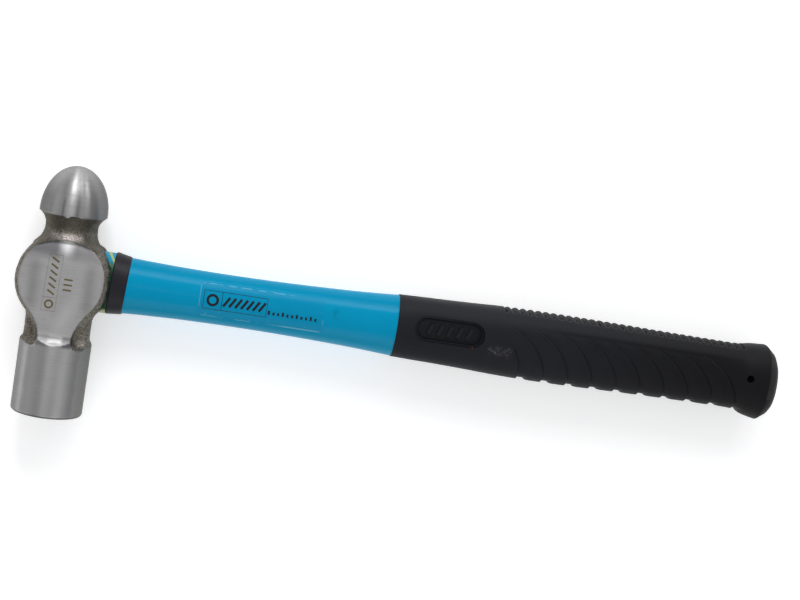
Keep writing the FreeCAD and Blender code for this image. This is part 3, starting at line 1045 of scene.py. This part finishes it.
def rectangle(left, low, width, height, line_width, steps=12):
    """Closed stroke round a rectangle."""
    right, high = left + width, low + height
    corners = [(left, low), (right, low), (right, high), (left, high)]
    sides = [np.linspace(a, b, steps, endpoint=False)
             for a, b in zip(corners, corners[1:] + corners[:1])]
    return stroke(np.concatenate(sides), line_width, closed=True), True


def plain_badge(left, low, height, length, thin, thick, bars):
    """Generic badge: a ring in a square beside a box of leaning bars."""
    middle = low + height / 2
    lean, reach = height * 0.16, height * 0.26
    strokes = [
        rectangle(left, low, height, height, thin),
        rectangle(left + height, low, length - height, height, thin),
        ring((left + height / 2, middle), height * 0.27, thick),
    ]
    pitch = (length - height) / (bars + 0.6)
    for bar in range(bars):
        x = left + height + pitch * (bar + 0.8)
        strokes.append(line((x - lean, middle - reach), (x + lean, middle + reach), thick))
    return strokes


def make_print():
    """Generic print on the film: a badge and a row of dashes."""
    strokes = plain_badge(left=58.9, low=55.4, height=7.8, length=27.0,
                          thin=0.22, thick=1.1, bars=7)
    for dash in range(DASH_COUNT):
        x = DASH_FIRST + dash * DASH_PITCH
        top = DASH_Y + DASH_HEIGHT + 0.5 * (dash % 3 == 0)
        strokes.append(line((x, DASH_Y), (x, top), 0.9, steps=6))
    flat, faces = marks(strokes)
    z = jacket_surface(flat[:, 0], flat[:, 1]) + LABEL_THICK + INK_THICK * (flat[:, 2] - 0.4)
    points = np.column_stack([flat[:, :2], z])
    build("label_print", points, faces, ink())


def make_cheek_mark():
    """Generic marks etched into the upper cheek, running along the head's axis."""
    strokes = plain_badge(left=45.4, low=0.9, height=5.7, length=23.9,
                          thin=0.10, thick=0.75, bars=6)
    for y in (55.0, 57.2, 59.4):
        strokes.append(line((y, -4.4), (y, -0.9), 0.7, steps=3))
    flat, faces = marks(strokes)
    x = -flat[:, 1] + MARK_SLANT * (flat[:, 0] - BOSS_Y)
    z = CHEEK_HALF - 0.05 + 0.055 * flat[:, 2]
    points = np.column_stack([x, flat[:, 0], z])
    build("cheek_mark", points, faces, etched())


# ---- grip ----

def grip_rows():
    """Places along the grip where its surface has a row of points."""
    ribs_start = RIB_FIRST - RIB_PITCH / 2
    ribs_end = RIB_FIRST + (RIB_COUNT - 0.5) * RIB_PITCH
    ribbed = np.arange(RIB_COUNT * RIB_STEPS + 1) * RIB_PITCH / RIB_STEPS + ribs_start
    before = np.arange(GRIP_START, ribs_start, PLAIN_STEP)
    after = np.arange(ribs_end, FLARE_END, PLAIN_STEP)[1:]
    rows = np.concatenate([before, ribbed, after, [FLARE_END]])
    feathers = FEATHER_FIRST + FEATHER_PITCH * np.arange(FEATHER_COUNT)
    steep = (feathers - WALL + np.linspace(0, WALL, WALL_STEPS + 1)[:, None]).ravel()
    lips = (feathers - WALL - np.linspace(0.5, 1.5, 3)[:, None] * LIP_WIDTH).ravel()
    steep = np.concatenate([steep, lips])
    spare = abs(rows[:, None] - steep).min(axis=1) < WALL / WALL_STEPS
    return np.sort(np.concatenate([rows[~spare], steep]))


def fullness(x):
    """Exponent of the grip's section: 2 is an oval, more has flatter sides."""
    return 2.1 + 0.5 * ramp(GRIP_START, 152.0, x) - 0.3 * ramp(292.0, 304.0, x)


def grip_section(x):
    """Heights and widths round a section, as shares of its half sizes, and its normals."""
    angle = np.linspace(0, 2 * math.pi, GRIP_AROUND, endpoint=False)
    across, up = np.sin(angle), np.cos(angle)
    power = fullness(x)
    reach = (abs(up) ** power + abs(across) ** power) ** (-1 / power)
    up, across = up * reach, across * reach
    normal = [np.sign(part) * abs(part) ** (power - 1) for part in (up, across)]
    return up, across, *normal


def feather_relief(along, up):
    """Depth of the feathers with the notches at their lower ends, and rise of their beads."""
    since = along - (FEATHER_FIRST + FEATHER_PITCH * np.arange(FEATHER_COUNT))
    steep = ramp(-WALL, 0, since)
    fall = steep * np.clip(1 - since / FEATHER_REACH, 0, 1) ** 1.3
    first = np.arange(FEATHER_COUNT) == 0
    fall_low = fall.max(axis=1, keepdims=True)
    fall_high = np.where(first, 0, fall).max(axis=1, keepdims=True)
    upper = ramp(-0.15, 0.15, up)
    feather = FEATHER_DEPTH * (fall_low * (1 - upper) + fall_high * upper)
    feather = feather * ramp(FEATHER_TOP + 0.02, FEATHER_TOP - 0.2, up)
    feather = feather * (1 - 0.6 * ramp(-0.2, 0.3, up))
    cut = steep * np.clip((NOTCH_REACH - since) / (NOTCH_REACH - NOTCH_FLAT), 0, 1)
    notch = NOTCH_DEPTH * cut.max(axis=1, keepdims=True) * ramp(-0.84, -0.95, up)
    lip = np.exp(-((since + WALL + LIP_WIDTH) / LIP_WIDTH) ** 2) * ~first
    lip = LIP_RISE * lip.max(axis=1, keepdims=True) * ramp(-0.3, 0.2, up)
    lip = lip * ramp(FEATHER_TOP + 0.02, FEATHER_TOP - 0.12, up)
    return np.maximum(feather, notch), lip


def rib_gap_depth(along, up):
    """Depth of the gaps between the round ribs on top."""
    from_rib = (along - RIB_FIRST) / RIB_PITCH
    phase = abs(from_rib - np.round(from_rib)) * 2 / RIB_WIDTH
    ribbed = (from_rib > -0.51) & (from_rib < RIB_COUNT - 0.49)
    sink = np.where(ribbed, RIB_DEPTH * (1 - np.sqrt(np.maximum(1 - phase ** 2, 0))), 0)
    return sink * ramp(0.885, 0.955, up)


def grip_outside():
    """Rings of the grip's outside, bent towards the head along the feathers."""
    along = grip_rows()[:, None]
    up = grip_section(along)[0]
    climb = np.clip((up + 1) / (FEATHER_TOP + 1), 0, 1)
    sweep = (1 - (1 - climb ** 2) ** 0.7) * ramp(0.84, 0.56, up)
    bend = ramp(166.0, 208.0, along) * ramp(312.0, 294.0, along)
    x = along - FEATHER_SWEEP * bend * sweep
    up, across, normal_up, normal_across = grip_section(x)
    centre, half_height, half_width = follow(GRIP_SECTIONS, x)
    cuts, lip = feather_relief(along, up)
    panel = PANEL_DEPTH * ramp(215.0, 245.0, along) * ramp(0.62, 0.53, up)
    panel = panel * ramp(306.0, 296.0, along)
    inward = cuts + panel - lip + rib_gap_depth(along, up)
    normal_up, normal_across = normal_up / half_height, normal_across / half_width
    length = np.hypot(normal_up, normal_across)
    y = centre + half_height * up - inward * normal_up / length
    z = half_width * across - inward * normal_across / length
    return np.stack([x, y, z], axis=-1)


def grip_butt():
    """Rings of the bevelled end past the flare."""
    end = np.array(BUTT_SECTIONS)
    up, across, _, _ = grip_section(np.full((1, 1), FLARE_END))
    x = np.broadcast_to(end[:, :1], (len(end), GRIP_AROUND))
    return np.stack([x, end[:, 1:2] + end[:, 2:3] * up, end[:, 3:4] * across], axis=-1)


def make_grip():
    """Grip with ribs on top, feathered sides that end in notches, and a round butt."""
    bore = straight(SLEEVE_END, GRIP_START, SLEEVE_HALF_HEIGHT, SLEEVE_HALF_WIDTH, GRIP_AROUND)
    points, faces = skin(np.concatenate([bore, grip_outside(), grip_butt()]))
    piece = build("moulded_grip", points, faces, grip_rubber(), crease=GRIP_CREASE)
    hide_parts("grip_sleeve")
    return piece


def badge_outline(grow):
    """Stadium round the badge, grown to all sides."""
    radius = BADGE_HALF_HEIGHT + grow
    turn = np.linspace(-math.pi / 2, math.pi / 2, 25)
    right = circle(BADGE_X[1] - BADGE_HALF_HEIGHT, BADGE_Y, radius, turn)
    left = circle(BADGE_X[0] + BADGE_HALF_HEIGHT, BADGE_Y, -radius, turn)
    return np.concatenate([right, left])


def cut_badge(piece, side):
    """Sinks one side's badge, with generic bars raised on its floor."""
    profile = ((-1.4, BADGE_FLOOR), (-1.05, BADGE_FLOOR - 0.15), (-1.0, BADGE_LEDGE - 0.2),
               (-0.85, BADGE_LEDGE), (0.0, BADGE_LEDGE - 0.1), (0.0, BADGE_FLOOR + 8.0))
    rings = [lifted(badge_outline(grow), height * side) for grow, height in profile]
    carve(piece, mesh_object("badge_cutter", *skin(np.array(rings))), "DIFFERENCE")
    strokes = [line((x - 0.9, BADGE_Y - 2.3), (x + 0.9, BADGE_Y + 2.3), 1.5, steps=2)
               for x in np.linspace(156.5, 173.6, 5)]
    flat, faces = marks(strokes)
    root = 0.6  # how far the bars reach under the floor
    flat[:, 2] = side * (BADGE_FLOOR - root + (root + BADGE_BAR_RISE) * flat[:, 2])
    carve(piece, mesh_object("badge_bars", flat, faces), "UNION")


def cut_grip(piece):
    """Sinks the badges and drills the hanging hole."""
    for side in (1, -1):
        cut_badge(piece, side)
    turn = np.linspace(0, 2 * math.pi, 32, endpoint=False)
    flat = circle(HOLE_X, HOLE_Y, HOLE_RADIUS, turn)
    rings = np.array([lifted(flat, z) for z in (-20.0, 20.0)])
    carve(piece, mesh_object("hole_cutter", *skin(rings)), "DIFFERENCE")
    smooth(piece.data, GRIP_CREASE)


# ---- stage ----

def stage_material():
    """Pale matte floor with a barely visible grain."""
    s = Shader("studio_floor", Roughness=0.9, Specular_IOR_Level=0.1)
    s.set("Base_Color", s.mix(s.noise(40.0, 3.0), (0.93, 0.93, 0.93, 1), (0.95, 0.95, 0.95, 1)))
    s.set("Emission_Color", (1.0, 1.0, 1.0, 1.0))
    s.set("Emission_Strength", FLOOR_GLOW)
    return s.material


def make_floor(low):
    """Square floor just under the hammer."""
    half = FLOOR_SIZE / 2
    corners = [(-half, -half, low), (half, -half, low), (half, half, low), (-half, half, low)]
    floor = mesh_object("floor", corners, [(0, 1, 2, 3)])
    floor.data.materials.append(stage_material())


def make_light(name, direction, distance, size, power):
    """Soft panel that faces the hammer from the given direction."""
    lamp = bpy.data.lights.new(name, "AREA")
    lamp.shape = "RECTANGLE"
    lamp.size, lamp.size_y = size[0] * MM, size[1] * MM
    lamp.energy = power
    panel = bpy.data.objects.new(name, lamp)
    toward = Vector(direction).normalized()
    panel.location = (Vector(AIM) + toward * distance) * MM
    panel.rotation_mode = "QUATERNION"
    panel.rotation_quaternion = (-toward).to_track_quat("-Z", "Y")
    scene.collection.objects.link(panel)


def make_world():
    """Grey light, brighter at the horizon than overhead, that shows as pale."""
    world = bpy.data.worlds.new("studio")
    world.use_nodes = True
    world.node_tree.nodes.clear()
    nodes = Nodes(world.node_tree)
    place = nodes.node("TexCoord").outputs["Generated"]
    height = nodes.node("SeparateXYZ", Vector=place).outputs["Z"]
    fade = nodes.node("MapRange", Value=height, From_Min=0.1, From_Max=0.9,
                      To_Min=HORIZON_LIGHT, To_Max=ZENITH_LIGHT).outputs["Result"]
    seen = nodes.node("LightPath").outputs["Is Camera Ray"]
    shown = nodes.node("Mix", Factor=seen, A=fade, B=BACKDROP).outputs["Result"]
    glow = nodes.node("Background", Color=(0.97, 0.98, 1.0, 1.0), Strength=shown)
    nodes.node("OutputWorld", Surface=glow.outputs[0])
    scene.world = world


def make_camera():
    """Camera above the hammer, rolled so that the handle slopes down to the right."""
    heading, elevation = math.radians(VIEW_HEADING), math.radians(VIEW_ELEVATION)
    back = Vector((math.cos(heading) * math.cos(elevation),
                   math.sin(heading) * math.cos(elevation), math.sin(elevation)))
    roll = math.radians(VIEW_ROLL)
    up_hint = Vector((-math.sin(roll), math.cos(roll), 0))
    right = up_hint.cross(back).normalized()
    up = back.cross(right)
    camera = bpy.data.objects.new("camera", bpy.data.cameras.new("camera"))
    camera.data.lens = LENS
    camera.data.clip_start = 0.01
    camera.matrix_world = Matrix.Translation((Vector(AIM) + back * VIEW_DISTANCE) * MM) @ Matrix(
        (right, up, back)).transposed().to_4x4()
    scene.collection.objects.link(camera)
    scene.camera = camera


def main():
    """Stage, pieces, and materials of the carried-over nodes."""
    make_camera()
    make_world()
    make_floor(cad_box[0].z / MM - FLOOR_GAP)
    for light in LIGHTS:
        make_light(*light)
    make_head()
    make_jacket()
    make_collar()
    make_film()
    make_print()
    make_cheek_mark()
    cut_grip(make_grip())
    for node, material in (("core_rod", glass_fibre()), ("eye_resin", green_resin())):
        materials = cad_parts[node].data.materials
        materials.clear()
        materials.append(material)
    scene.view_settings.view_transform = "Standard"


main()
